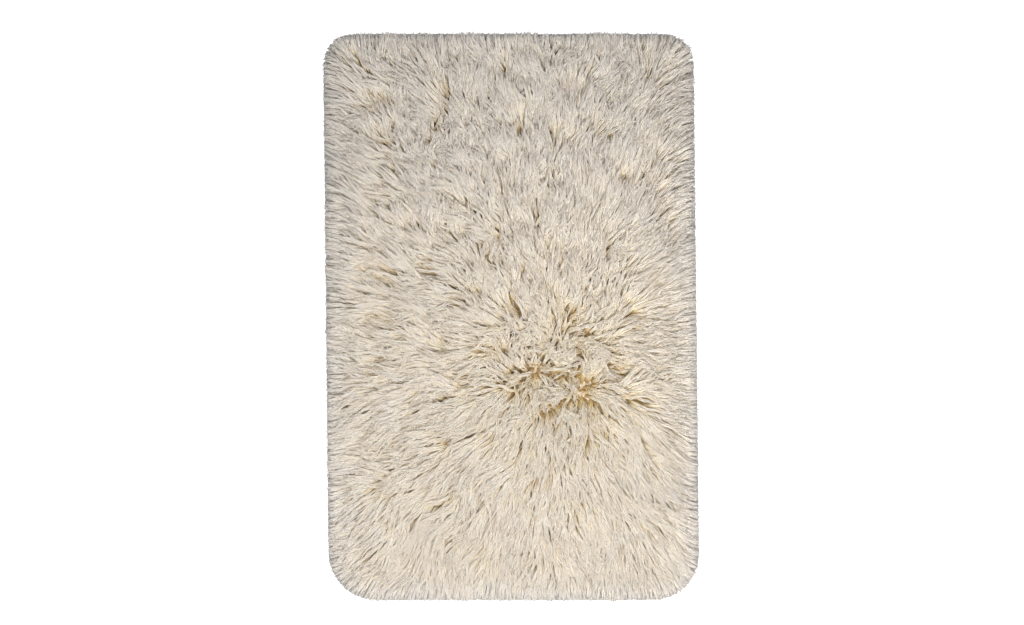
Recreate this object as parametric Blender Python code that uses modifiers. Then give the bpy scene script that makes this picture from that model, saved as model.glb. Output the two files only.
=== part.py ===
"""Long-pile wool area rug: a woven ground cloth with a taped and stitched edge, and rows of pile on top.

Metres, +Z up, +X across the width, +Y along the length towards the head. The origin is the middle of the
rug on the floor. The corners at the foot (-Y) are rounder than those at the head (+Y).
"""

import math

import bmesh
import bpy

# Outline of the pile, seen from above
PILE_WIDTH = 0.610
PILE_LENGTH = 0.934
HEAD_CORNER = 0.048
FOOT_CORNER = 0.076

# Ground cloth
PILE_OVERHANG = 0.015  # how far the pile falls past the edge of the cloth
CLOTH_THICKNESS = 0.004
MARGIN_THICKNESS = 0.0008  # the cloth's edge, pressed flat inside the tape

# Edge binding
TAPE_LEAF = 0.012  # how far each leaf of the folded tape reaches in over the cloth
TAPE_THICKNESS = 0.0006
TAPE_BUTT_GAP = 0.0008
THREAD_DIAMETER = 0.0005
SEAM_INSET = 0.009  # from the edge of the cloth to the row of stitches
THREAD_RISE = 0.0002  # the lower thread's height over the floor

# Care label, blank, in a dent on the underside beside the tape
LABEL_LENGTH = 0.045
LABEL_WIDTH = 0.028
LABEL_THICKNESS = 0.0004
LABEL_FROM_SIDE = 0.110  # from the right-hand edge of the pile to the label's middle
LABEL_FROM_TAPE = 0.002

# Pile
ROW_PITCH = 0.0222
ROW_GAP = 0.0006
PILE_HEIGHT = 0.046  # the rug's whole height
ROW_CROWN = 0.002  # how much higher a row is along its middle
ROW_ROUNDING = 0.005
EDGE_HEIGHT = 0.014  # of the pile where it has fallen over the edge
HEM_RISE = 0.001  # the lowest pile's height over the floor
HEM_CLEARANCE = 0.0031  # from the tape to the pile that hangs past it, which turns corners in fewer steps
MIDDLE_LIMIT = 0.6  # the share of an end row's width that may hang
SHOULDER = 0.045  # width of the band where the pile rounds down to the edge

CLEARANCE = 0.0003
SMALLEST_CORNER = 0.004
CORNER_STEPS = 8
CUT_MARGIN = 0.002  # how far a cutter runs past what it cuts

# Heights of the edge binding, from the floor up
TAPE_BOTTOM = THREAD_RISE + THREAD_DIAMETER + CLEARANCE
MARGIN_BOTTOM = TAPE_BOTTOM + TAPE_THICKNESS + CLEARANCE
MARGIN_TOP = MARGIN_BOTTOM + MARGIN_THICKNESS
TAPE_TOP = MARGIN_TOP + CLEARANCE + TAPE_THICKNESS
NEEDLE_THREAD_TOP = TAPE_TOP + CLEARANCE + THREAD_DIAMETER
PILE_BOTTOM = max(CLOTH_THICKNESS, NEEDLE_THREAD_TOP) + CLEARANCE

# Places inwards from the outline of the pile
TAPE_OUTSIDE = PILE_OVERHANG - CLEARANCE - TAPE_THICKNESS
TAPE_INSIDE = PILE_OVERHANG + TAPE_LEAF
FIELD_EDGE = TAPE_INSIDE + CLEARANCE
SEAM = PILE_OVERHANG + SEAM_INSET
EDGE_DROP = TAPE_OUTSIDE - HEM_CLEARANCE  # the band outside the tape where the pile hangs below the cloth's top
INNER_STATIONS = (SHOULDER * 1.4, SHOULDER * 0.7, EDGE_DROP)  # where a row of pile has sections near its ends

COLOURS = {  # linear colour and roughness
    "wool_pile": ((0.79, 0.70, 0.55), 0.85),
    "ground_cloth": ((0.60, 0.51, 0.37), 0.90),
    "binding_tape": ((0.66, 0.58, 0.45), 0.80),
    "sewing_thread": ((0.74, 0.68, 0.56), 0.60),
    "care_label": ((0.86, 0.85, 0.82), 0.55),
}


def clear_scene():
    for obj in list(bpy.data.objects):
        bpy.data.objects.remove(obj)


def new_collection(name):
    collection = bpy.data.collections.new(name)
    bpy.context.scene.collection.children.link(collection)
    return collection


def new_material(name, colour, roughness):
    material = bpy.data.materials.new(name)
    material.use_nodes = True
    shader = material.node_tree.nodes["Principled BSDF"]
    shader.inputs["Base Color"].default_value = (*colour, 1.0)
    shader.inputs["Roughness"].default_value = roughness
    shader.inputs["Metallic"].default_value = 0.0
    return material


def corner_centre(corner, inset):
    """The centre and radius of a corner of the outline moved inwards by inset."""
    radius = max(corner - inset, SMALLEST_CORNER)
    return PILE_WIDTH / 2 - inset - radius, PILE_LENGTH / 2 - inset - radius, radius


def outline(inset):
    """The points of the rug's outline moved inwards by inset, counter-clockwise from the right-hand side."""
    points = []
    quarters = ((1, 1, HEAD_CORNER), (-1, 1, HEAD_CORNER), (-1, -1, FOOT_CORNER), (1, -1, FOOT_CORNER))
    for quarter, (side, end, corner) in enumerate(quarters):
        x, y, radius = corner_centre(corner, inset)
        for step in range(CORNER_STEPS + 1):
            angle = math.pi / 2 * (quarter + step / CORNER_STEPS)
            points.append((side * x + radius * math.cos(angle), end * y + radius * math.sin(angle)))
    return points


def corner_at(y):
    return HEAD_CORNER if y > 0 else FOOT_CORNER


def depth(x, y):
    """How far inside the outline of the pile a point is."""
    centre_x, centre_y, radius = corner_centre(corner_at(y), 0.0)
    past_x = abs(x) - centre_x
    past_y = abs(y) - centre_y
    if past_x > 0 and past_y > 0:
        return radius - math.hypot(past_x, past_y)
    return radius - max(past_x, past_y)


def half_width(y, inset):
    """Half the width of the outline moved inwards by inset, at y. Past its end, where its straight end begins."""
    x, centre_y, radius = corner_centre(corner_at(y), inset)
    past = max(abs(y) - centre_y, 0.0)
    return x + math.sqrt(max(radius**2 - past**2, 0.0))


def mesh_from_curve(name, curve, collection):
    """A mesh object with the shape of the curve object, which is removed. The curve's loose caps are welded."""
    bpy.context.scene.collection.objects.link(curve)
    graph = bpy.context.evaluated_depsgraph_get()
    mesh = bpy.data.meshes.new_from_object(curve.evaluated_get(graph))
    bm = bmesh.new()
    bm.from_mesh(mesh)
    bmesh.ops.remove_doubles(bm, verts=bm.verts, dist=0.00001)
    bmesh.ops.recalc_face_normals(bm, faces=bm.faces)
    bm.to_mesh(mesh)
    bm.free()
    obj = bpy.data.objects.new(name, mesh)
    obj.matrix_world = curve.matrix_world
    bpy.data.objects.remove(curve)
    collection.objects.link(obj)
    return obj


def outline_curve(name, inset, height):
    curve = bpy.data.curves.new(name, "CURVE")
    spline = curve.splines.new("POLY")
    points = outline(inset)
    spline.points.add(len(points) - 1)
    for point, (x, y) in zip(spline.points, points):
        point.co = (x, y, 0.0, 1.0)
    spline.use_cyclic_u = True
    obj = bpy.data.objects.new(name, curve)
    obj.location.z = height
    return obj


def plate(name, inset, bottom, top, collection):
    """A flat slab with the rug's outline moved inwards by inset."""
    obj = outline_curve(name + "_outline", inset, (bottom + top) / 2)
    obj.data.dimensions = "2D"
    obj.data.fill_mode = "BOTH"
    obj.data.extrude = (top - bottom) / 2
    return mesh_from_curve(name, obj, collection)


def block(name, size, centre, collection):
    bm = bmesh.new()
    bmesh.ops.create_cube(bm, size=1.0)
    bmesh.ops.scale(bm, vec=size, verts=bm.verts)
    mesh = bpy.data.meshes.new(name)
    bm.to_mesh(mesh)
    bm.free()
    obj = bpy.data.objects.new(name, mesh)
    obj.location = centre
    collection.objects.link(obj)
    return obj


def boolean(obj, other, operation):
    other.hide_render = True
    other.display_type = "WIRE"
    modifier = obj.modifiers.new(f"{operation.lower()}_{other.name}", "BOOLEAN")
    modifier.object = other
    modifier.operation = operation
    modifier.solver = "EXACT"


def label_centre():
    """The middle of the label on the floor plane: beside the tape at the foot."""
    x = PILE_WIDTH / 2 - LABEL_FROM_SIDE
    return x, -PILE_LENGTH / 2 + FIELD_EDGE + LABEL_FROM_TAPE + LABEL_WIDTH / 2


def make_ground_cloth(parts, cutters):
    """The woven field, the thin margin round it that the tape grips, and the dent that holds the label."""
    cloth = plate("ground_cloth", FIELD_EDGE, 0.0, CLOTH_THICKNESS, parts)
    margin = plate("cloth_margin", PILE_OVERHANG, MARGIN_BOTTOM, MARGIN_TOP, cutters)
    boolean(cloth, margin, "UNION")
    dent_depth = THREAD_RISE + LABEL_THICKNESS + CLEARANCE
    dent_size = (LABEL_LENGTH + 2 * CLEARANCE, LABEL_WIDTH + 2 * CLEARANCE, 2 * dent_depth)
    dent = block("label_dent", dent_size, (*label_centre(), 0.0), cutters)
    boolean(cloth, dent, "DIFFERENCE")
    return cloth


def make_binding_tape(parts, cutters):
    """A tape folded over the cloth's edge all round, whose two ends meet at the middle of the foot."""
    tape = plate("binding_tape", TAPE_OUTSIDE, TAPE_BOTTOM, TAPE_TOP, parts)
    hole = plate("tape_hole", TAPE_INSIDE, TAPE_BOTTOM - CUT_MARGIN, TAPE_TOP + CUT_MARGIN, cutters)
    boolean(tape, hole, "DIFFERENCE")
    slot_edge = PILE_OVERHANG - CLEARANCE
    slot = plate("tape_slot", slot_edge, MARGIN_BOTTOM - CLEARANCE, MARGIN_TOP + CLEARANCE, cutters)
    boolean(tape, slot, "DIFFERENCE")
    butt_size = (TAPE_BUTT_GAP, 2 * TAPE_INSIDE, CLOTH_THICKNESS + 2 * CUT_MARGIN)
    butt = block("tape_butt", butt_size, (0.0, -PILE_LENGTH / 2, CLOTH_THICKNESS / 2), cutters)
    boolean(tape, butt, "DIFFERENCE")
    return tape


def make_thread(name, height, parts):
    """One of the two threads of the seam that goes once round the rug."""
    thread = outline_curve(name, SEAM, height)
    thread.data.dimensions = "3D"
    thread.data.bevel_depth = THREAD_DIAMETER / 2
    thread.data.bevel_resolution = 1
    thread.data.render_resolution_u = 0
    parts.objects.link(thread)
    return thread


def make_care_label(parts):
    height = THREAD_RISE + LABEL_THICKNESS / 2
    size = (LABEL_LENGTH, LABEL_WIDTH, LABEL_THICKNESS)
    return block("care_label", size, (*label_centre(), height), parts)


def pile_top(x, y):
    """Height of the pile: level in the field, rounding down to the edge like a quarter of an ellipse."""
    inward = min(max(depth(x, y), 0.0) / SHOULDER, 1.0)
    rounding = math.sqrt(1.0 - (1.0 - inward) ** 2)
    return EDGE_HEIGHT + (PILE_HEIGHT - EDGE_HEIGHT) * rounding


def pile_underside(x, y):
    """Height of the pile's underside: on the cloth, and hanging towards the floor outside it."""
    inward = min(max(depth(x, y), 0.0) / EDGE_DROP, 1.0)
    return HEM_RISE + (PILE_BOTTOM - HEM_RISE) * inward


def stations_across(y):
    """Places across the rug where a row of pile has a section, from left to right."""
    edge = half_width(y, 0.0)
    right = [0.0]
    for step, inset in enumerate(INNER_STATIONS):
        farthest = edge - EDGE_DROP * (1 - step / len(INNER_STATIONS))
        right.append(min(half_width(y, inset), farthest))
    right.append(edge)
    return [-x for x in reversed(right[1:])] + right


def row_lines(low, high):
    """The three lines along a row of pile. A row at an end of the rug has the middle one over the cloth's edge."""
    end = PILE_LENGTH / 2
    middle = (low + high) / 2
    hanging = min(EDGE_DROP, (high - low) * MIDDLE_LIMIT)
    if high > end - ROW_GAP:
        middle = end - hanging
    if low < -end + ROW_GAP:
        middle = -end + hanging
    return low, middle, high


def make_pile_row(name, low, high, parts):
    """One row of pile from side to side: a bar with a rounded, crowned top that falls over the edges."""
    lines = row_lines(low, high)
    across = [stations_across(y) for y in lines]
    last_station = len(across[0]) - 1
    bm = bmesh.new()
    bmesh.ops.create_grid(bm, x_segments=last_station, y_segments=2, size=1.0)
    lower = list(bm.verts)
    bmesh.ops.extrude_face_region(bm, geom=bm.faces[:])
    upper = [vert for vert in bm.verts if vert not in lower]
    places = {}
    for verts, height in ((lower, pile_underside), (upper, pile_top)):
        for vert in verts:
            station = round((vert.co.x + 1.0) / 2 * last_station)
            line = round(vert.co.y + 1.0)
            places[vert] = (station, line)
            x = across[line][station]
            y = lines[line]
            drop = ROW_CROWN if height is pile_top and line != 1 else 0.0
            vert.co = (x, y, height(x, y) - drop)
    bmesh.ops.recalc_face_normals(bm, faces=bm.faces)
    weights = bm.edges.layers.float.new("bevel_weight_edge")
    top = set(upper)
    for edge in bm.edges:
        first, second = (places[v][1] for v in edge.verts)
        if top.issuperset(edge.verts) and first == second != 1:
            edge[weights] = 1.0
    mesh = bpy.data.meshes.new(name)
    bm.to_mesh(mesh)
    bm.free()
    obj = bpy.data.objects.new(name, mesh)
    parts.objects.link(obj)
    bevel = obj.modifiers.new("rounding", "BEVEL")
    bevel.limit_method = "WEIGHT"
    bevel.width = ROW_ROUNDING
    bevel.segments = 2
    mesh.shade_smooth()
    return obj


def make_pile(parts):
    """Rows of equal width that fill the rug from foot to head."""
    count = round(PILE_LENGTH / ROW_PITCH)
    pitch = PILE_LENGTH / count
    rows = []
    for index in range(count):
        low = -PILE_LENGTH / 2 + index * pitch
        high = low + pitch
        low += ROW_GAP / 2 if index > 0 else 0.0
        high -= ROW_GAP / 2 if index < count - 1 else 0.0
        rows.append(make_pile_row(f"pile_row_{index + 1:02d}", low, high, parts))
    return rows


def wear(obj, name):
    colour, roughness = COLOURS[name]
    obj.data.materials.append(new_material(f"{obj.name}_{name}", colour, roughness))


def main():
    clear_scene()
    parts = new_collection("area_rug")
    cutters = new_collection("cutters")
    wear(make_ground_cloth(parts, cutters), "ground_cloth")
    wear(make_binding_tape(parts, cutters), "binding_tape")
    needle_height = TAPE_TOP + CLEARANCE + THREAD_DIAMETER / 2
    wear(make_thread("needle_thread", needle_height, parts), "sewing_thread")
    wear(make_thread("bobbin_thread", THREAD_RISE + THREAD_DIAMETER / 2, parts), "sewing_thread")
    wear(make_care_label(parts), "care_label")
    for row in make_pile(parts):
        wear(row, "wool_pile")


main()
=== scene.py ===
"""The looks of the long-pile wool rug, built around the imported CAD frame.

Metres, +Z up, +Y towards the head of the rug. Every lock of pile is a bundle of tapered, twisted strands
that grows from the ground cloth, leans away from the whorl and falls over the edges.
"""

import math

import bpy
import numpy as np
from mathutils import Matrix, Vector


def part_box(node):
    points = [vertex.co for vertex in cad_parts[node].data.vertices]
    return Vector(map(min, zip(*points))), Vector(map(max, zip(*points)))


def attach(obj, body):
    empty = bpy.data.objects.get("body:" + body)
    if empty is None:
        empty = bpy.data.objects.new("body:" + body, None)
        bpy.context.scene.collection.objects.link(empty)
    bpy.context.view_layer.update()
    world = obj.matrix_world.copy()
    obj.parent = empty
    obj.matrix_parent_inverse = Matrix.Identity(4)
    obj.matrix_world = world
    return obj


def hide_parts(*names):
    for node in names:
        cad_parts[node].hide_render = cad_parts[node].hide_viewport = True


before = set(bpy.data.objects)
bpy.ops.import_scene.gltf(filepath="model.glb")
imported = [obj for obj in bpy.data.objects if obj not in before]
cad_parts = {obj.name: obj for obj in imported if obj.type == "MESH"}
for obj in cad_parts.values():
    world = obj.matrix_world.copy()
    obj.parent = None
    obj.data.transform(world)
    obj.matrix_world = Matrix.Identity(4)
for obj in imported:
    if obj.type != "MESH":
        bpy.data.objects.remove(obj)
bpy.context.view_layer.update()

# Camera: straight above, with the rug a little left of and below the middle of its view
LENS = 85.0
SENSOR = 36.0
VIEW_WIDTH = 1.6875  # what the view spans from side to side, at the level of the pile
VIEW_LEVEL = 0.025
CAMERA_OFFSET = (0.0012, 0.0074)

# Light: a soft lamp overhead, an even fill from all round, and a white floor
LAMP_PLACE = (0.10, -0.55, 2.3)
LAMP_SIZE = 1.2
LAMP_POWER = 65.2
LAMP_COLOUR = (1.0, 0.975, 0.94)
FILL_COLOUR = (0.955, 0.965, 0.985)
FILL_STRENGTH = 0.305
FLOOR_SIZE = 30.0
FLOOR_LEVEL = -0.0005
FLOOR_COLOUR = (0.8, 0.8, 0.82)

# Outline of the pile
HEAD_CORNER = 0.048
FOOT_CORNER = 0.076
SKEW = -0.0106  # sideways shift of the pile for each metre towards the head

# Whorl from which the pile fans out
WHORL = (0.074, -0.088)
WHORL_STRAY = 0.016  # how far its centre strays from place to place
WHORL_CORE = 0.02  # within this distance the pile stands on end
WHORL_REACH = 0.15  # and beyond this one it lies over
WHORL_TOUSLE = 0.035  # the headings are tousled this far out
WHORL_LIGHT_SIZE = (0.11, 0.11)  # painted light: the wool about it is made creamier and lighter this far out
EDGE_PULL = 0.10  # width of the rim where the pile turns towards the nearest edge

# Two more patches where the pile stands up
TUFT = (-0.125, 0.265)
TUFT_SIZE = (0.08, 0.06)
TUFT_STRENGTH = 0.80
BAND = (-0.03, 0.07)
BAND_SIZE = (0.09, 0.11)
BAND_STRENGTH = 0.45

# Planting
LINES_PER_ROW = 4
LOCK_SPACING = 0.0056
ROOT_MARGIN = 0.006
FRINGE_SPACING = 0.0026  # between the locks that follow the cloth's edge
FRINGE_INSETS = (0.006, 0.012)  # of the lines of those locks from the edge
ROWS_PER_PIECE = 2
SEED = 7

# Locks
STRANDS = 5
RINGS = 8
SIDES = 3
LOCK_LENGTH = 0.076
LOCK_RADIUS = 0.0016
LOCK_FLATTENING = (1.25, 0.6)
ROOT_SWELL = 1.2
STRAND_RADIUS = 0.0010
CLUMP_PITCH = 0.024
LOBE_PITCH = 0.036  # of the big tufts, which draw together most where the pile stands up
LYING = np.radians(81.0)  # how far from upright the tip of a lock leans where the pile lies over
STANDING = np.radians(70.0)  # and where it stands up
EDGE_BAND = 0.026  # width of the band where the pile turns down over the edge
EDGE_GIVE = 0.004
HEM_REACH = 0.0022  # how far past the outline the hem hangs
HEM_CAPTURE = 0.014  # locks that come this near the outline hang in the hem
HEM_FUZZ = 0.0012
HEM_CUT = (0.002, 0.008)  # heights between which the locks of the hem are cut off
HEM_SHARES = (0.6, 1.1)  # of the hem's reach, from lock to lock
FLOOR_GAP = 0.0004  # the least height of any point of the pile
HEM_SWELL = 0.3  # how much thicker the strands look where they hang side by side in the hem
FALLEN = math.radians(172.0)  # how far from upright a lock hangs that has fallen over the edge
STEPS = 26  # along a growing lock
RISING_STEPS = 6  # those near the root, which can't meet the floor
SURFACE_LYING = 0.026  # usual height of the pile's surface where it lies over, below which the painted shade deepens
SURFACE_STANDING = 0.029  # and where it stands
PRESS_FROM = 0.030
CREST = 0.053

# Ground cloth, binding tape, stitches and label, seen from below
MARGIN = 0.0125  # width of the cloth's edge that is pressed flat inside the tape
MARGIN_LOW = 0.0020
MARGIN_HIGH = 0.0026
MARGIN_BLEND = 0.003
ROOT_SINK = 0.0008  # how far the roots of the locks stand in the cloth
RIB_PITCH = 0.00556  # from one weft rib to the next, each with a line of pile knots
RIB_RELIEF = 0.0006
RIB_STEPS = 4
CLOTH_COLUMNS = 56
CLOTH_EDGE_COLUMNS = (0.94, 0.955, 0.97, 0.985)  # more of them near each end, as shares of half the width
TAPE_REACH = 0.0111  # from the edge of the cloth to the inner edge of each leaf
TAPE_OUT = 0.0009
TAPE_THICKNESS = 0.0006
SEAM_INSET = 0.009
SEAM_DIMPLE = 0.00012
STITCH_LENGTH = 0.0042
STITCH_GAP = 0.0005
THREAD_RADIUS = 0.00025
THREAD_RINGS = 7
THREAD_SIDES = 6
LABEL_HEM = 0.004
LABEL_COLUMNS = 46
LABEL_LINES = 29
LABEL_HOLLOW = 0.0009  # height of the cloth's underside over the label


def outline_depth(x, y, inset=0.0):
    """How far inside the outline of the pile each point is, and the direction out to its nearest edge."""
    half_x, half_y = PILE_HALF
    corner = np.where(y > 0, HEAD_CORNER, FOOT_CORNER)
    past_x = np.abs(x) - (half_x - corner)
    past_y = np.abs(y) - (half_y - corner)
    in_corner = (past_x > 0) & (past_y > 0)
    reach = np.where(in_corner, np.hypot(past_x, past_y), np.maximum(past_x, past_y))
    out_x = np.where(in_corner, past_x, past_x > past_y) * np.sign(x)
    out_y = np.where(in_corner, past_y, past_y >= past_x) * np.sign(y)
    size = np.maximum(np.hypot(out_x, out_y), 1e-9)
    return corner - reach - inset, out_x / size, out_y / size


def smooth(low, high, value):
    """From 0 at low to 1 at high, level at both ends. Low may be the larger of the two."""
    share = np.clip((value - low) / (high - low), 0.0, 1.0)
    return share * share * (3.0 - 2.0 * share)


def ripple(x, y, size, seed):
    """Smooth noise of about unit size whose features are size across."""
    rng = np.random.default_rng(seed)
    total = np.zeros_like(x)
    waves = 7
    for _ in range(waves):
        heading = rng.uniform(0.0, 2 * math.pi)
        wavelength = size * rng.uniform(0.7, 1.6)
        phase = rng.uniform(0.0, 2 * math.pi)
        total += np.sin(2 * math.pi * (x * math.cos(heading) + y * math.sin(heading)) / wavelength + phase)
    return total / math.sqrt(waves / 2)


def patch(x, y, centre, size):
    """1 at the centre of an oval patch, fading out over its size."""
    return np.exp(-(((x - centre[0]) / size[0]) ** 2) - ((y - centre[1]) / size[1]) ** 2)


def comb_heading(x, y):
    """The compass heading in which the pile leans, in radians from +X."""
    away_x = x - WHORL[0] + WHORL_STRAY * ripple(x, y, 0.08, 31)
    away_y = y - WHORL[1] + WHORL_STRAY * ripple(x, y, 0.08, 32)
    radius = np.maximum(np.hypot(away_x, away_y), 1e-6)
    pull_x = 1.0 - smooth(0.0, EDGE_PULL, PILE_HALF[0] - np.abs(x))
    pull_y = 1.0 - smooth(0.0, EDGE_PULL, PILE_HALF[1] - np.abs(y))
    edge = np.maximum(pull_x, pull_y)
    lean_x = away_x / radius * (1.0 - 0.75 * edge) + pull_x * np.sign(x)
    lean_y = away_y / radius * (1.0 - 0.75 * edge) + pull_y * np.sign(y)
    heading = np.arctan2(lean_y, lean_x)
    wander = 0.22 * ripple(x, y, 0.13, 11) + 0.16 * ripple(x, y, 0.05, 12)
    tousle = 1.5 * (1.0 - smooth(0.0, WHORL_TOUSLE, radius)) * ripple(x, y, 0.025, 33)
    return heading + (wander + tousle) * (1.0 - 0.7 * edge)


def uprightness(x, y):
    """1 where the pile stands on end, 0 where it lies over."""
    radius = np.hypot(x - WHORL[0], y - WHORL[1])
    whorl = 1.0 - smooth(WHORL_CORE, WHORL_REACH, radius)
    tuft = TUFT_STRENGTH * patch(x, y, TUFT, TUFT_SIZE)
    band = BAND_STRENGTH * patch(x, y, BAND, BAND_SIZE)
    patches = 0.25 * np.clip(ripple(x, y, 0.10, 13), 0.0, 2.0)
    return np.clip(np.max((whorl, tuft, band, patches), axis=0), 0.0, 1.0)


def painted_light_warmth(x, y):
    """Painted light and shade: 1 where the wool is painted creamiest and lightest, about the whorl and
    towards the foot, and 0 at the rim, painted greyer and darker as shade.
    """
    depth, _, _ = outline_depth(x, y)
    low = 0.5 + 0.5 * (1.0 - smooth(-0.10, 0.40, y))
    return 0.75 * smooth(0.0, 0.10, depth) * low + 0.25 * patch(x, y, WHORL, WHORL_LIGHT_SIZE)


def nearest_clump(x, y, pitch, rng):
    """For each point, the centre of its clump and the clump's number. Clumps sit on a jittered grid."""
    columns = int(1.0 / pitch)
    jitter = rng.uniform(-0.42, 0.42, (columns, columns, 2))
    cell_x = np.floor(x / pitch).astype(int)
    cell_y = np.floor(y / pitch).astype(int)
    best = np.full(x.shape, np.inf)
    centre_x = np.zeros_like(x)
    centre_y = np.zeros_like(x)
    number = np.zeros(x.shape, int)
    for step_x in (-1, 0, 1):
        for step_y in (-1, 0, 1):
            column = (cell_x + step_x) % columns
            line = (cell_y + step_y) % columns
            site_x = (cell_x + step_x + 0.5 + jitter[column, line, 0]) * pitch
            site_y = (cell_y + step_y + 0.5 + jitter[column, line, 1]) * pitch
            distance = np.hypot(x - site_x, y - site_y)
            nearer = distance < best
            best = np.where(nearer, distance, best)
            centre_x = np.where(nearer, site_x, centre_x)
            centre_y = np.where(nearer, site_y, centre_y)
            number = np.where(nearer, column * columns + line, number)
    return centre_x, centre_y, number


def plant(low_y, high_y, rng):
    """The roots of the locks in a band of the rug, in lines across it and then along the cloth's edge."""
    half_x = PILE_HALF[0]
    roots = []
    pitch = (high_y - low_y) / LINES_PER_ROW
    per_line = int(2 * half_x / LOCK_SPACING)
    for line in range(LINES_PER_ROW):
        across = (np.arange(per_line) + 0.5 * (line % 2)) * LOCK_SPACING - half_x
        x = across + rng.uniform(-0.4, 0.4, per_line) * LOCK_SPACING
        y = low_y + pitch * (line + 0.5 + rng.uniform(-0.35, 0.35, per_line))
        roots.append(np.stack((x, y), axis=1))
    roots = np.concatenate(roots)
    inside, _, _ = outline_depth(roots[:, 0], roots[:, 1], CLOTH_INSET + ROOT_MARGIN)
    roots = roots[inside > 0]
    fringe = np.concatenate([rounded_path(inset, FRINGE_SPACING)[0] for inset in FRINGE_INSETS])
    fringe = fringe[(fringe[:, 1] >= low_y) & (fringe[:, 1] < high_y)]
    in_fringe = np.concatenate((np.zeros(len(roots), bool), np.ones(len(fringe), bool)))
    return np.concatenate((roots, fringe)), in_fringe


def edge_give(out_x, out_y):
    """How far the pile bulges past its outline: most at the corners, and a little more at the foot."""
    return EDGE_GIVE * (1.0 + 1.2 * np.abs(out_x * out_y) + 0.6 * (out_y < -0.5))


def tuck(points):
    """Presses whatever stands out past the bulging outline back against it."""
    depth, out_x, out_y = outline_depth(points[..., 0], points[..., 1])
    past = np.maximum(-depth - HEM_REACH - HEM_FUZZ, 0.0) * 0.9
    points[..., 0] -= out_x * past
    points[..., 1] -= out_y * past
    return points


def grow(roots, traits):
    """Centre lines of the locks, which start upright, lean over and turn down past the cloth's edge."""
    count = len(roots)
    step = traits["length"] / STEPS
    path = np.zeros((count, STEPS + 1, 3))
    path[:, 0, :2] = roots
    path[:, 0, 2] = ROOT_LEVEL
    for index in range(1, STEPS + 1):
        share = (index - 0.5) / STEPS
        x, y, z = path[:, index - 1].T
        depth, out_x, out_y = outline_depth(x, y)
        fall = 1.0 - smooth(-edge_give(out_x, out_y), EDGE_BAND, depth)
        phase = traits["phase"] + 2 * math.pi * share * traits["waves"]
        lean = traits["lean_root"] + (traits["lean_tip"] - traits["lean_root"]) * share ** traits["late"]
        lean = lean + 0.6 * traits["curl"] * np.cos(phase * 1.3)
        lean = lean + (FALLEN - lean) * fall
        heading = traits["heading"] + traits["curl"] * np.sin(phase)
        heading_x = np.cos(heading) * (1 - fall) + out_x * fall
        heading_y = np.sin(heading) * (1 - fall) + out_y * fall
        path[:, index, 0] = x + step * np.sin(lean) * heading_x
        path[:, index, 1] = y + step * np.sin(lean) * heading_y
        path[:, index, 2] = z + step * np.cos(lean)
    path = line_up(trim(path, traits), traits)
    path[:, :, 2] = pressed(path[:, :, 2])
    return path


def line_up(path, traits):
    """Moves each lock that falls over the edge out or in, so that the hem follows one smooth outline."""
    depth, out_x, out_y = outline_depth(path[..., 0], path[..., 1])
    nearest = depth.min(axis=1)
    shift = (nearest + HEM_REACH * traits["hem_share"]) * smooth(HEM_CAPTURE, 0.5 * HEM_CAPTURE, nearest)
    weight = shift[:, None] * smooth(EDGE_BAND + 0.01, 0.0, depth)
    path[..., 0] += out_x * weight
    path[..., 1] += out_y * weight
    return path


def pressed(z):
    """Heights under the pile's own weight: unchanged low down, and never over the crest."""
    spare = CREST - PRESS_FROM
    over = np.maximum(z - PRESS_FROM, 0.0)
    return np.where(z > PRESS_FROM, PRESS_FROM + spare * (1.0 - np.exp(-over / spare)), z)


def trim(path, traits):
    """Cuts each lock off where it meets the floor, and spaces its rings evenly along what is left."""
    over = path[:, :, 2] < traits["hem"][:, None]
    over[:, :RISING_STEPS] = False
    last = np.where(over.any(axis=1), over.argmax(axis=1), STEPS)
    places = np.linspace(0.0, 1.0, RINGS)[None, :] * last[:, None]
    before = np.minimum(places.astype(int), STEPS - 1)
    share = (places - before)[..., None]
    rows = np.arange(len(path))[:, None]
    return path[rows, before] * (1 - share) + path[rows, before + 1] * share


def gather(path, traits):
    """Draws the locks of a clump together towards their tips."""
    share = np.linspace(0.0, 1.0, RINGS)[None, :]
    root = path[:, 0, :2].copy()
    for centre, pull, power in (("clump", "pull", 1.4), ("lobe", "lobe_pull", 0.8)):
        strength = (traits[pull][:, None] * share**power)[..., None]
        path[:, :, :2] += (traits[centre] - root)[:, None] * strength
    return path


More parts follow.
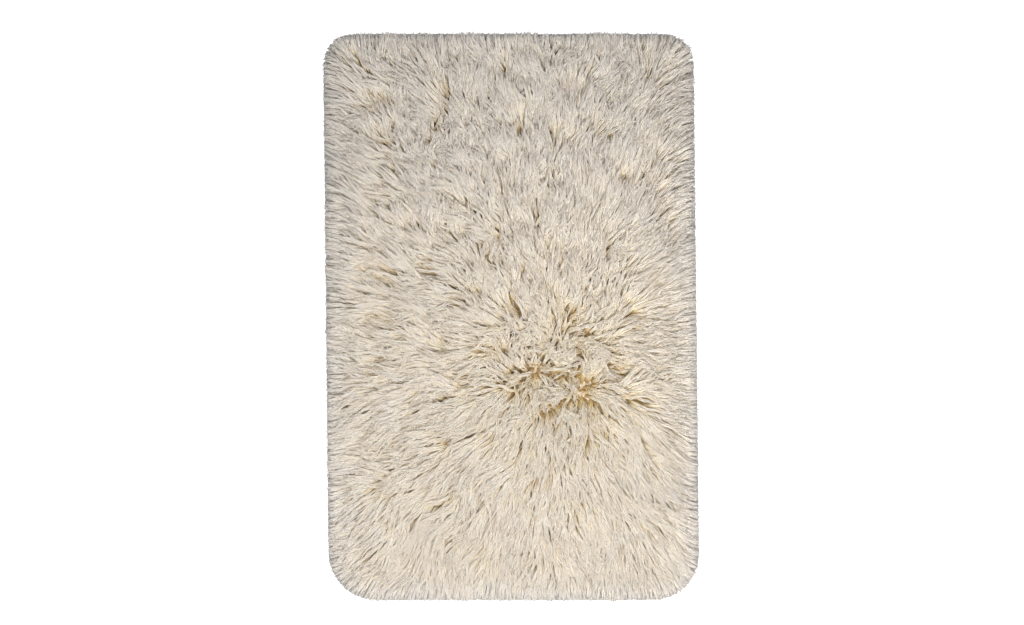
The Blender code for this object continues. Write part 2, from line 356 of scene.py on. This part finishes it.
def lock_traits(roots, in_fringe, rng):
    """How each lock leans, curls, gathers and is coloured, by where its root is and by chance."""
    x, y = roots.T
    count = len(roots)
    upright = uprightness(x, y)
    clump_x, clump_y, clump = nearest_clump(x, y, CLUMP_PITCH, np.random.default_rng(SEED))
    lobe_x, lobe_y, lobe = nearest_clump(x, y, LOBE_PITCH, np.random.default_rng(SEED + 2))
    own = np.random.default_rng(SEED + 1).normal(0.0, 1.0, (3, clump.max() + 1))
    whole = np.random.default_rng(SEED + 3).normal(0.0, 1.0, lobe.max() + 1)
    lobed = smooth(0.3, 0.8, upright)
    depth, _, _ = outline_depth(x, y)
    # How freely a clump strays from its neighbours: not at all at the edges, and less at the foot
    freedom = smooth(0.02, 0.11, depth) * (0.65 + 0.35 * smooth(-0.40, -0.18, y))
    lying = LYING + np.radians(11.0) * own[1][clump]
    standing = STANDING + np.radians(10.0) * own[1][clump]
    wobble = np.radians(6.0 + 20.0 * upright)
    lean_tip = lying + (standing - lying) * upright + wobble * rng.normal(size=count)
    spread = 0.15 + 0.21 * upright
    heading = comb_heading(x, y) + spread * (1.1 * own[0][clump] * freedom + rng.normal(size=count))
    heading = heading + (0.10 * freedom + 0.70 * lobed) * whole[lobe]
    _, out_x, out_y = outline_depth(x, y)
    heading = np.where(in_fringe, np.arctan2(out_y, out_x) + rng.normal(0.0, 0.11, count), heading)
    freedom = np.where(in_fringe, 0.0, freedom)
    wildness = np.where(in_fringe, 0.5, 1.0)
    variety = rng.normal(1.0, 0.10, count) + (0.18 * own[2][clump] + 0.10 * whole[lobe]) * freedom
    # Painted light and shade: greyer and darker at the rim, creamier and lighter about the whorl and
    # towards the foot, and lighter along the head's rim
    painted_light_and_shade = 0.06 + 0.15 * smooth(0.38, 0.46, y) + 0.68 * painted_light_warmth(x, y)
    return {
        "length": LOCK_LENGTH * (1.0 - 0.30 * upright) * np.clip(variety, 0.6, 1.3),
        "lean_root": np.radians(14.0) + np.radians(22.0) * (1 - upright) * rng.uniform(0.3, 1.0, count),
        "lean_tip": lean_tip,
        "late": 0.8 + 0.7 * upright,
        "heading": heading,
        "curl": (0.20 + 0.24 * upright) * rng.uniform(0.4, 1.4, count) * wildness,
        "waves": rng.uniform(1.1, 2.4, count),
        "phase": rng.uniform(0.0, 2 * math.pi, count),
        "clump": np.stack((clump_x, clump_y), axis=1),
        "pull": (0.40 + 0.08 * own[2][clump]) * freedom,
        "lobe": np.stack((lobe_x, lobe_y), axis=1),
        "lobe_pull": (0.15 + 0.41 * lobed) * freedom,
        # Painted light and shade, with each strand's and clump's own colour at random
        "tone_and_light": painted_light_and_shade + 0.16 * rng.uniform(0.0, 1.0, count) + 0.05 * own[0][clump],
        "frizz": 0.00035 + 0.0011 * upright,
        "upright": upright,
        "hem": rng.uniform(*HEM_CUT, count),
        "hem_share": rng.uniform(*HEM_SHARES, count),
    }


def painted_shade_height(points, upright, share):
    """From 0 deep in the pile to 1 at its surface, for the painted shade: the wool is coloured darker and
    more golden the deeper it lies.
    """
    depth, _, _ = outline_depth(points[..., 0], points[..., 1])
    surface = (SURFACE_LYING + (SURFACE_STANDING - SURFACE_LYING) * upright)[:, None, None, None]
    surface = surface * smooth(-0.004, 0.04, depth) + 0.003
    height = np.clip(points[..., 2] / surface, 0.0, 1.0)
    return 0.02 + 0.96 * (0.75 * height + 0.25 * share[None, None, :, None])


def strand_points(path, traits, share, rng):
    """Points of the strands of each lock, ring by ring, twisted round its centre line."""
    count = len(path)
    tangent = np.gradient(path, axis=1)
    tangent /= np.maximum(np.linalg.norm(tangent, axis=2, keepdims=True), 1e-9)
    side = np.stack((-np.sin(traits["heading"]), np.cos(traits["heading"]), np.zeros(count)), axis=1)
    side = np.repeat(side[:, None, :], RINGS, axis=1)
    side -= tangent * np.sum(side * tangent, axis=2, keepdims=True)
    side /= np.maximum(np.linalg.norm(side, axis=2, keepdims=True), 1e-9)
    up = np.cross(tangent, side)
    bundle = LOCK_RADIUS * (0.75 + 0.9 * share * (1 - share) * 2) * (1 - 0.85 * share**2.2)
    body = np.clip(1.15 * (1 - share**2.6), 0.10, 1.0)
    taper = STRAND_RADIUS * (body + ROOT_SWELL * (1 - smooth(0.0, 0.5, share)))
    strands = np.arange(STRANDS) / STRANDS * 2 * math.pi
    start = strands[None, :] + rng.uniform(0, 2 * math.pi, (count, 1))
    start = start + rng.normal(0, 0.25, (count, STRANDS))
    twist = rng.choice((-1.0, 1.0), (count, 1)) * rng.uniform(2.5, 6.5, (count, 1))
    angle = start[:, :, None] + twist[:, :, None] * share[None, None, :]
    reach = bundle[None, None, :] * rng.uniform(0.55, 1.25, (count, STRANDS, 1))
    loose = 1.0 + rng.exponential(0.35, (count, STRANDS, 1)) * share[None, None, :] ** 2 * 2.0
    reach = reach * loose
    across = LOCK_FLATTENING[0] * reach * np.cos(angle)
    across = across + traits["frizz"][:, None, None] * share * rng.normal(size=(count, STRANDS, RINGS))
    fallen = 1.0 - smooth(0.0, EDGE_BAND, outline_depth(path[..., 0], path[..., 1])[0])
    reach = reach * (1.0 - 0.65 * fallen[:, None])
    above = LOCK_FLATTENING[1] * reach * np.sin(angle)
    above = above + 0.5 * traits["frizz"][:, None, None] * share * rng.normal(size=(count, STRANDS, RINGS))
    centre = path[:, None] + across[..., None] * side[:, None] + above[..., None] * up[:, None]
    ring_angle = np.arange(SIDES) / SIDES * 2 * math.pi
    cos_ring = np.cos(ring_angle)[None, None, None, :, None]
    sin_ring = np.sin(ring_angle)[None, None, None, :, None]
    size = taper[None, None, :, None, None] * rng.uniform(0.75, 1.2, (count, STRANDS, 1, 1, 1))
    size = size * (1.0 + HEM_SWELL * fallen[:, None, :, None, None])
    points = centre[:, :, :, None] + size * (
        cos_ring * side[:, None, :, None] + sin_ring * up[:, None, :, None]
    )
    points = tuck(points)
    over_cloth = outline_depth(points[..., 0], points[..., 1])[0] > CLOTH_INSET - 0.002
    points[..., 2] = np.maximum(points[..., 2], np.where(over_cloth, ROOT_LEVEL, FLOOR_GAP))
    return points


def strand_mesh(path, traits, rng):
    """Points, faces and UVs of all the strands: U is a strand's own colour at random with painted light
    and shade, and V its height in the pile, for the painted shade.
    """
    count = len(path)
    total = count * STRANDS
    share = np.linspace(0.0, 1.0, RINGS)
    points = strand_points(path, traits, share, rng)
    tone_and_light = np.clip(traits["tone_and_light"][:, None] + rng.normal(0, 0.05, (count, STRANDS)), 0.0, 1.0)
    u = 0.01 + 0.96 * tone_and_light.reshape(total)[:, None, None] + 0.006 * np.arange(SIDES)[None, None, :]
    v = painted_shade_height(points, traits["upright"], share).reshape(total, RINGS, SIDES)
    uv = np.stack((np.broadcast_to(u, v.shape), v), axis=3).reshape(total * RINGS * SIDES, 2)
    faces = repeated(ring_faces(RINGS, SIDES, False), total, RINGS * SIDES)
    return points.reshape(-1, 3), faces, uv


def mesh_object(name, points, faces, uv, material):
    """A smooth mesh whose faces all have as many sides, with a UV for each point unless uv is None."""
    sides = faces.shape[1]
    mesh = bpy.data.meshes.new(name)
    mesh.vertices.add(len(points))
    mesh.vertices.foreach_set("co", points.astype(np.float32).ravel())
    mesh.loops.add(faces.size)
    mesh.loops.foreach_set("vertex_index", faces.astype(np.int32).ravel())
    mesh.polygons.add(len(faces))
    mesh.polygons.foreach_set("loop_start", np.arange(0, faces.size, sides, dtype=np.int32))
    mesh.polygons.foreach_set("use_smooth", np.ones(len(faces), bool))
    if uv is not None:
        layer = mesh.uv_layers.new(name="OFBake")
        layer.data.foreach_set("uv", uv[faces.ravel()].astype(np.float32).ravel())
    mesh.update(calc_edges=True)
    mesh.materials.append(material)
    obj = bpy.data.objects.new(name, mesh)
    bpy.context.scene.collection.objects.link(obj)
    return obj


def ramp(nodes, stops):
    """A colour ramp with a colour at each place of the stops."""
    node = nodes.new("ShaderNodeValToRGB")
    elements = node.color_ramp.elements
    while len(elements) < len(stops):
        elements.new(0.5)
    for element, (place, colour) in zip(elements, stops):
        element.position = place
        element.color = (*colour, 1.0)
    return node


def wool_material():
    """Cream wool with painted shade, golden and darker deep in the pile and paler at its surface, painted
    light and shade over the rug, and each strand a little different.
    """
    material = bpy.data.materials.new("wool_pile")
    material.use_nodes = True
    nodes = material.node_tree.nodes
    links = material.node_tree.links
    shader = nodes["Principled BSDF"]
    place = nodes.new("ShaderNodeUVMap")
    place.uv_map = "OFBake"
    split = nodes.new("ShaderNodeSeparateXYZ")
    links.new(place.outputs["UV"], split.inputs[0])
    # Painted shade: darker and golden deep in the pile, palest at its surface, from V
    along = ramp(
        nodes,
        (
            (0.0, (0.46, 0.30, 0.09)),
            (0.42, (0.70, 0.53, 0.27)),
            (0.70, (0.960, 0.880, 0.700)),
            (1.0, (0.988, 0.965, 0.928)),
        ),
    )
    links.new(split.outputs["Y"], along.inputs["Fac"])
    # Painted light and shade over each strand's own colour at random: greyer and darker at the rim,
    # creamier about the whorl and towards the foot
    lock = ramp(
        nodes,
        (
            (0.0, (0.755, 0.738, 0.738)),
            (0.45, (0.945, 0.915, 0.88)),
            (0.75, (0.980, 0.937, 0.855)),
            (1.0, (1.0, 0.955, 0.825)),
        ),
    )
    links.new(split.outputs["X"], lock.inputs["Fac"])
    mix = nodes.new("ShaderNodeMix")
    mix.data_type = "RGBA"
    mix.blend_type = "MULTIPLY"
    mix.inputs["Factor"].default_value = 1.0
    links.new(along.outputs["Color"], mix.inputs["A"])
    links.new(lock.outputs["Color"], mix.inputs["B"])
    links.new(mix.outputs["Result"], shader.inputs["Base Color"])
    shader.inputs["Roughness"].default_value = 0.7
    shader.inputs["Specular IOR Level"].default_value = 0.25
    shader.inputs["Sheen Weight"].default_value = 0.08
    shader.inputs["Sheen Roughness"].default_value = 0.5
    shader.inputs["Subsurface Weight"].default_value = 0.6
    shader.inputs["Subsurface Radius"].default_value = (1.0, 0.9, 0.75)
    shader.inputs["Subsurface Scale"].default_value = 0.004
    return material


def make_pile():
    """The pile, in one piece for every few rows of the frame."""
    rng = np.random.default_rng(SEED)
    wool = wool_material()
    rows = sorted(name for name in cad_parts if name.startswith("pile_row_"))
    for first in range(0, len(rows), ROWS_PER_PIECE):
        group = rows[first : first + ROWS_PER_PIECE]
        paths = []
        traits = []
        for row in group:
            low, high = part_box(row)
            roots, in_fringe = plant(low.y, high.y, rng)
            trait = lock_traits(roots, in_fringe, rng)
            path = grow(roots, trait)
            paths.append(gather(path, trait))
            traits.append(trait)
        path = np.concatenate(paths)
        trait = {key: np.concatenate([t[key] for t in traits]) for key in traits[0]}
        points, faces, uv = strand_mesh(path, trait, rng)
        points[:, 0] += SKEW * points[:, 1]
        piece = mesh_object(f"pile_{first // ROWS_PER_PIECE + 1:02d}", points, faces, uv, wool)
        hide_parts(*group)
        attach(piece, "root")


def rounded_path(inset, spacing):
    """Even points along a line inset from the cloth's edge, their outward headings, and its length."""
    half_x = PILE_HALF[0] - CLOTH_INSET - inset
    half_y = PILE_HALF[1] - CLOTH_INSET - inset
    x, y, heading = [], [], []
    for corner, (sign_x, sign_y) in enumerate(((1, 1), (-1, 1), (-1, -1), (1, -1))):
        radius = (HEAD_CORNER if sign_y > 0 else FOOT_CORNER) - CLOTH_INSET - inset
        angle = np.linspace(corner * math.pi / 2, (corner + 1) * math.pi / 2, 24)
        x.append(sign_x * (half_x - radius) + radius * np.cos(angle))
        y.append(sign_y * (half_y - radius) + radius * np.sin(angle))
        heading.append(angle)
    x = np.append(np.concatenate(x), x[0][0])
    y = np.append(np.concatenate(y), y[0][0])
    heading = np.append(np.concatenate(heading), 2 * math.pi)
    along = np.append(0.0, np.cumsum(np.hypot(np.diff(x), np.diff(y))))
    count = round(along[-1] / spacing)
    at = np.arange(count) * along[-1] / count
    return (
        np.stack((np.interp(at, along, x), np.interp(at, along, y)), axis=1),
        np.interp(at, along, heading),
        along[-1],
    )


def ring_faces(rings, sides, closed):
    """Quads between rings of points, each ring closed, and the last joined to the first if closed."""
    ring = np.arange(rings if closed else rings - 1)[:, None]
    side = np.arange(sides)[None, :]
    ahead = (ring + 1) % rings
    return np.stack(
        (
            ring * sides + side,
            ring * sides + (side + 1) % sides,
            ahead * sides + (side + 1) % sides,
            ahead * sides + side,
        ),
        axis=2,
    ).reshape(-1, 4)


def repeated(faces, count, points_each):
    """The faces of count shapes of a kind, each with its own points."""
    first = np.arange(count) * points_each
    return (faces[None] + first[:, None, None]).reshape(-1, 4)


def slab(x, y, low, high):
    """A closed sheet between two surfaces over the same grid of places."""
    rows, columns = x.shape
    points = np.concatenate((np.stack((x, y, low), axis=2), np.stack((x, y, high), axis=2))).reshape(-1, 3)
    number = np.arange(rows * columns).reshape(rows, columns)
    corners = (number[:-1, :-1], number[:-1, 1:], number[1:, 1:], number[1:, :-1])
    quads = np.stack(corners, axis=2).reshape(-1, 4)
    rim = np.concatenate((number[0, :-1], number[:-1, -1], number[-1, :0:-1], number[:0:-1, 0]))
    ahead = np.roll(rim, -1)
    shift = rows * columns
    walls = np.stack((rim, ahead, ahead + shift, rim + shift), axis=1)
    return points, np.concatenate((quads[:, ::-1], quads + shift, walls))


def make_ground_cloth():
    """The woven ground: weft ribs below, and an edge pressed flat for the tape."""
    half_x = PILE_HALF[0] - CLOTH_INSET
    half_y = PILE_HALF[1] - CLOTH_INSET
    lines = round(2 * half_y / RIB_PITCH * RIB_STEPS)
    y = np.linspace(-half_y, half_y, lines + 1)
    radius = np.where(y > 0, HEAD_CORNER, FOOT_CORNER) - CLOTH_INSET
    into_corner = np.maximum(np.abs(y) - (half_y - radius), 0.0)
    width = half_x - radius + np.sqrt(np.maximum(radius**2 - into_corner**2, 0.0))
    share = np.linspace(-1.0, 1.0, CLOTH_COLUMNS)
    more = np.array(CLOTH_EDGE_COLUMNS)
    share = np.sort(np.concatenate((share, -more, more)))
    x = width[:, None] * share[None, :]
    y = np.broadcast_to(y[:, None], x.shape)
    depth, _, _ = outline_depth(x, y, CLOTH_INSET)
    body = smooth(MARGIN, MARGIN + MARGIN_BLEND, depth)
    rib = 0.5 + 0.5 * np.cos(2 * math.pi * (y + half_y) / RIB_PITCH)
    rib = rib * (0.75 + 0.25 * np.clip(ripple(x, y, 0.05, 21), -1.0, 1.0))
    low_corner, high_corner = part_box("care_label")
    past_x = np.maximum(np.maximum(low_corner.x - x, x - high_corner.x), 0.0)
    past_y = np.maximum(np.maximum(low_corner.y - y, y - high_corner.y), 0.0)
    by_label = 1.0 - smooth(0.001, 0.012, np.hypot(past_x, past_y))
    low = MARGIN_LOW * (1 - body) + body * (RIB_RELIEF * rib * (1 - by_label) + LABEL_HOLLOW * by_label)
    high = MARGIN_HIGH * (1 - body) + body * (ROOT_LEVEL + ROOT_SINK)
    points, faces = slab(x, y, low, high)
    cloth = mesh_object("woven_ground", points, faces, None, cloth_material())
    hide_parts("ground_cloth")
    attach(cloth, "root")
    return cloth


def make_tape():
    """A twill tape folded round the cloth's edge, drawn in a little along the seam."""
    place, heading, length = rounded_path(0.0, STITCH_LENGTH / 2)
    low_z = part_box("binding_tape")[0].z
    high_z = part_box("binding_tape")[1].z
    middle = (low_z + high_z) / 2
    outer = (high_z - low_z) / 2
    inner = outer - TAPE_THICKNESS
    turn = np.linspace(math.pi / 2, -math.pi / 2, 9)
    leaf = -np.array((TAPE_REACH, SEAM_INSET + 0.001, SEAM_INSET, SEAM_INSET - 0.001, 0.005, 0.002))
    dimple = np.array((0.0, 0.3, 1.0, 0.3, 0.0, 0.0)) * SEAM_DIMPLE
    centre = TAPE_OUT - outer
    out = np.concatenate(
        (
            leaf,
            centre + outer * np.cos(turn),
            leaf[::-1],
            leaf,
            centre + inner * np.cos(turn[::-1]),
            leaf[::-1],
        )
    )
    rise = np.concatenate(
        (
            outer - dimple,
            outer * np.sin(turn),
            -outer + dimple[::-1],
            -inner + dimple,
            inner * np.sin(turn[::-1]),
            inner - dimple[::-1],
        )
    )
    wave = 1.0 + 0.02 * ripple(place[:, 0], place[:, 1], 0.03, 22)
    reach = out[None, :] * wave[:, None]
    points = np.stack(
        (
            place[:, :1] + reach * np.cos(heading)[:, None],
            place[:, 1:] + reach * np.sin(heading)[:, None],
            np.broadcast_to(middle + rise[None, :], reach.shape),
        ),
        axis=2,
    )
    faces = ring_faces(len(place), len(out), True)
    tape = mesh_object("edge_tape", points.reshape(-1, 3), faces, None, tape_material())
    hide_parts("binding_tape")
    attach(tape, "root")


def make_stitches(name, node, above):
    """One side of the lockstitch round the tape: short threads whose ends go down into the holes."""
    place, heading, _ = rounded_path(SEAM_INSET, STITCH_LENGTH)
    low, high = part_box(node)
    share = np.linspace(-1.0, 1.0, THREAD_RINGS)
    reach = share * (STITCH_LENGTH - STITCH_GAP) / 2
    dip = (high.z - low.z - 2 * THREAD_RADIUS) + 0.0004 * np.abs(share) ** 4
    level = (low.z + high.z) / 2 - (dip if above else -dip)
    centre = np.stack(
        (
            place[:, :1] - reach * np.sin(heading)[:, None],
            place[:, 1:] + reach * np.cos(heading)[:, None],
            np.broadcast_to(level, (len(place), len(share))),
        ),
        axis=2,
    )
    angle = np.arange(THREAD_SIDES) / THREAD_SIDES * 2 * math.pi
    radius = THREAD_RADIUS * (1.0 - 0.45 * np.abs(share) ** 6)
    out = radius[None, :, None] * np.cos(angle)
    points = np.stack(
        (
            centre[:, :, :1] + out * np.cos(heading)[:, None, None],
            centre[:, :, 1:2] + out * np.sin(heading)[:, None, None],
            centre[:, :, 2:] + np.broadcast_to(radius[None, :, None] * np.sin(angle), out.shape),
        ),
        axis=3,
    )
    one = ring_faces(THREAD_RINGS, THREAD_SIDES, False)
    faces = repeated(one, len(place), THREAD_RINGS * THREAD_SIDES)
    thread = mesh_object(name, points.reshape(-1, 3), faces, None, thread_material())
    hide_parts(node)
    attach(thread, "root")


def make_label():
    """A blank satin label, hemmed at both ends, lying flat against the ground cloth."""
    low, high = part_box("care_label")
    across = np.linspace(low.x, high.x, LABEL_COLUMNS)
    up = np.linspace(low.y, high.y, LABEL_LINES)
    x, y = np.meshgrid(across, up)
    from_end = np.minimum(x - low.x, high.x - x)
    hem = 1.0 - smooth(LABEL_HEM - 0.0006, LABEL_HEM, from_end)
    rounding = smooth(0.0, 0.0008, np.minimum(from_end, np.minimum(y - low.y, high.y - y)))
    puff = 0.00005 * ripple(x, y, 0.02, 23)
    thick = high.z - low.z
    under = low.z + thick * (0.30 - 0.25 * hem * rounding) + puff
    over = high.z - thick * 0.1 * (1 - rounding)
    points, faces = slab(x, y, under, np.broadcast_to(over, x.shape))
    label = mesh_object("blank_label", points, faces, None, label_material())
    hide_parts("care_label")
    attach(label, "root")


def woven_material(name, dark, light, pitch, turn, relief, roughness):
    """Cloth with threads at the given pitches in metres, turned in its plane, with fuzz and uneven dye."""
    material = bpy.data.materials.new(name)
    material.use_nodes = True
    nodes = material.node_tree.nodes
    links = material.node_tree.links
    shader = nodes["Principled BSDF"]
    place = nodes.new("ShaderNodeTexCoord")
    turned = nodes.new("ShaderNodeMapping")
    turned.inputs["Rotation"].default_value = (0.0, 0.0, turn)
    links.new(place.outputs["Object"], turned.inputs["Vector"])
    threads = []
    for direction, size in zip(("X", "Y"), pitch):
        wave = nodes.new("ShaderNodeTexWave")
        wave.bands_direction = direction
        wave.inputs["Scale"].default_value = math.pi / 10.0 / size
        wave.inputs["Distortion"].default_value = 0.6
        wave.inputs["Detail Scale"].default_value = 2.0
        links.new(turned.outputs["Vector"], wave.inputs["Vector"])
        threads.append(wave)
    weave = nodes.new("ShaderNodeMath")
    weave.operation = "MULTIPLY"
    for socket, wave in enumerate(threads):
        links.new(wave.outputs["Fac"], weave.inputs[socket])
    fuzz = nodes.new("ShaderNodeTexNoise")
    fuzz.inputs["Scale"].default_value = 900.0
    fuzz.inputs["Detail"].default_value = 3.0
    links.new(place.outputs["Object"], fuzz.inputs["Vector"])
    patches = nodes.new("ShaderNodeTexNoise")
    patches.inputs["Scale"].default_value = 18.0
    patches.inputs["Detail"].default_value = 2.0
    links.new(place.outputs["Object"], patches.inputs["Vector"])
    height = nodes.new("ShaderNodeMath")
    height.operation = "MULTIPLY_ADD"
    height.inputs[1].default_value = 0.3
    links.new(fuzz.outputs["Fac"], height.inputs[0])
    links.new(weave.outputs["Value"], height.inputs[2])
    colour = ramp(nodes, ((0.05, dark), (0.75, light)))
    links.new(height.outputs["Value"], colour.inputs["Fac"])
    uneven = ramp(nodes, ((0.3, (0.90, 0.89, 0.87)), (0.7, (1.0, 1.0, 1.0))))
    links.new(patches.outputs["Fac"], uneven.inputs["Fac"])
    mix = nodes.new("ShaderNodeMix")
    mix.data_type = "RGBA"
    mix.blend_type = "MULTIPLY"
    mix.inputs["Factor"].default_value = 1.0
    links.new(colour.outputs["Color"], mix.inputs["A"])
    links.new(uneven.outputs["Color"], mix.inputs["B"])
    links.new(mix.outputs["Result"], shader.inputs["Base Color"])
    rough = nodes.new("ShaderNodeMapRange")
    rough.inputs["To Min"].default_value = roughness[0]
    rough.inputs["To Max"].default_value = roughness[1]
    links.new(height.outputs["Value"], rough.inputs["Value"])
    links.new(rough.outputs["Result"], shader.inputs["Roughness"])
    bump = nodes.new("ShaderNodeBump")
    bump.inputs["Strength"].default_value = 0.6
    bump.inputs["Distance"].default_value = relief
    links.new(height.outputs["Value"], bump.inputs["Height"])
    links.new(bump.outputs["Normal"], shader.inputs["Normal"])
    shader.inputs["Specular IOR Level"].default_value = 0.2
    shader.inputs["Sheen Weight"].default_value = 0.1
    return material


def cloth_material():
    knots = (LOCK_SPACING, RIB_PITCH)
    return woven_material(
        "ground_cloth", (0.50, 0.43, 0.33), (0.80, 0.73, 0.61), knots, 0.0, 0.0006, (0.95, 0.8)
    )


def tape_material():
    twill = (0.0022, 0.0011)
    return woven_material(
        "binding_tape", (0.62, 0.56, 0.47), (0.82, 0.76, 0.66), twill, math.pi / 4, 0.0002, (0.9, 0.75)
    )


def thread_material():
    plies = (0.0009, 0.0006)
    return woven_material(
        "sewing_thread", (0.72, 0.68, 0.60), (0.88, 0.84, 0.77), plies, math.pi / 5, 0.0001, (0.75, 0.5)
    )


def label_material():
    satin = (0.0004, 0.0012)
    return woven_material(
        "care_label", (0.86, 0.85, 0.82), (0.93, 0.92, 0.90), satin, 0.0, 0.00004, (0.55, 0.35)
    )


def floor_material():
    """White paper that glows for the camera alone, so that the rug gets only what the paper reflects."""
    material = bpy.data.materials.new("floor_white")
    material.use_nodes = True
    nodes = material.node_tree.nodes
    shader = nodes["Principled BSDF"]
    shader.inputs["Base Color"].default_value = (*FLOOR_COLOUR, 1.0)
    shader.inputs["Roughness"].default_value = 0.9
    shader.inputs["Emission Color"].default_value = (1.0, 1.0, 1.0, 1.0)
    path = nodes.new("ShaderNodeLightPath")
    links = material.node_tree.links
    links.new(path.outputs["Is Camera Ray"], shader.inputs["Emission Strength"])
    return material


def make_stage():
    """The floor, the fill light and the lamp."""
    bpy.ops.mesh.primitive_plane_add(size=FLOOR_SIZE, location=(0.0, 0.0, FLOOR_LEVEL))
    floor = bpy.context.object
    floor.name = "floor"
    floor.data.materials.append(floor_material())

    world = bpy.data.worlds.new("studio")
    world.use_nodes = True
    background = world.node_tree.nodes["Background"]
    background.inputs["Color"].default_value = (*FILL_COLOUR, 1.0)
    background.inputs["Strength"].default_value = FILL_STRENGTH
    bpy.context.scene.world = world

    lamp = bpy.data.lights.new("softbox", "AREA")
    lamp.shape = "SQUARE"
    lamp.size = LAMP_SIZE
    lamp.energy = LAMP_POWER
    lamp.color = LAMP_COLOUR
    softbox = bpy.data.objects.new("softbox", lamp)
    softbox.location = LAMP_PLACE
    softbox.visible_camera = False
    bpy.context.scene.collection.objects.link(softbox)


def make_camera():
    """The camera, and how the render is lit and shown."""
    data = bpy.data.cameras.new("camera")
    data.lens = LENS
    data.sensor_width = SENSOR
    camera = bpy.data.objects.new("camera", data)
    distance = VIEW_WIDTH * LENS / SENSOR
    camera.location = (*CAMERA_OFFSET, distance + VIEW_LEVEL)
    bpy.context.scene.collection.objects.link(camera)
    bpy.context.scene.camera = camera
    bpy.context.scene.view_settings.view_transform = "Standard"
    bpy.context.scene.cycles.diffuse_bounces = 10


def pile_half():
    """Half the pile's width and half its length in the frame."""
    low = np.min([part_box(n)[0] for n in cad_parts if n.startswith("pile_row_")], axis=0)
    high = np.max([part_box(n)[1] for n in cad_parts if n.startswith("pile_row_")], axis=0)
    return (high[0] - low[0]) / 2, (high[1] - low[1]) / 2


PILE_HALF = pile_half()
CLOTH_INSET = PILE_HALF[0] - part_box("ground_cloth")[1].x
# The locks start a little below the upper side of the cloth
ROOT_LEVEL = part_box("ground_cloth")[1].z - 0.001

make_camera()
make_stage()
make_pile()
ground = make_ground_cloth()
make_tape()
make_stitches("needle_stitches", "needle_thread", True)
make_stitches("bobbin_stitches", "bobbin_thread", False)
make_label()
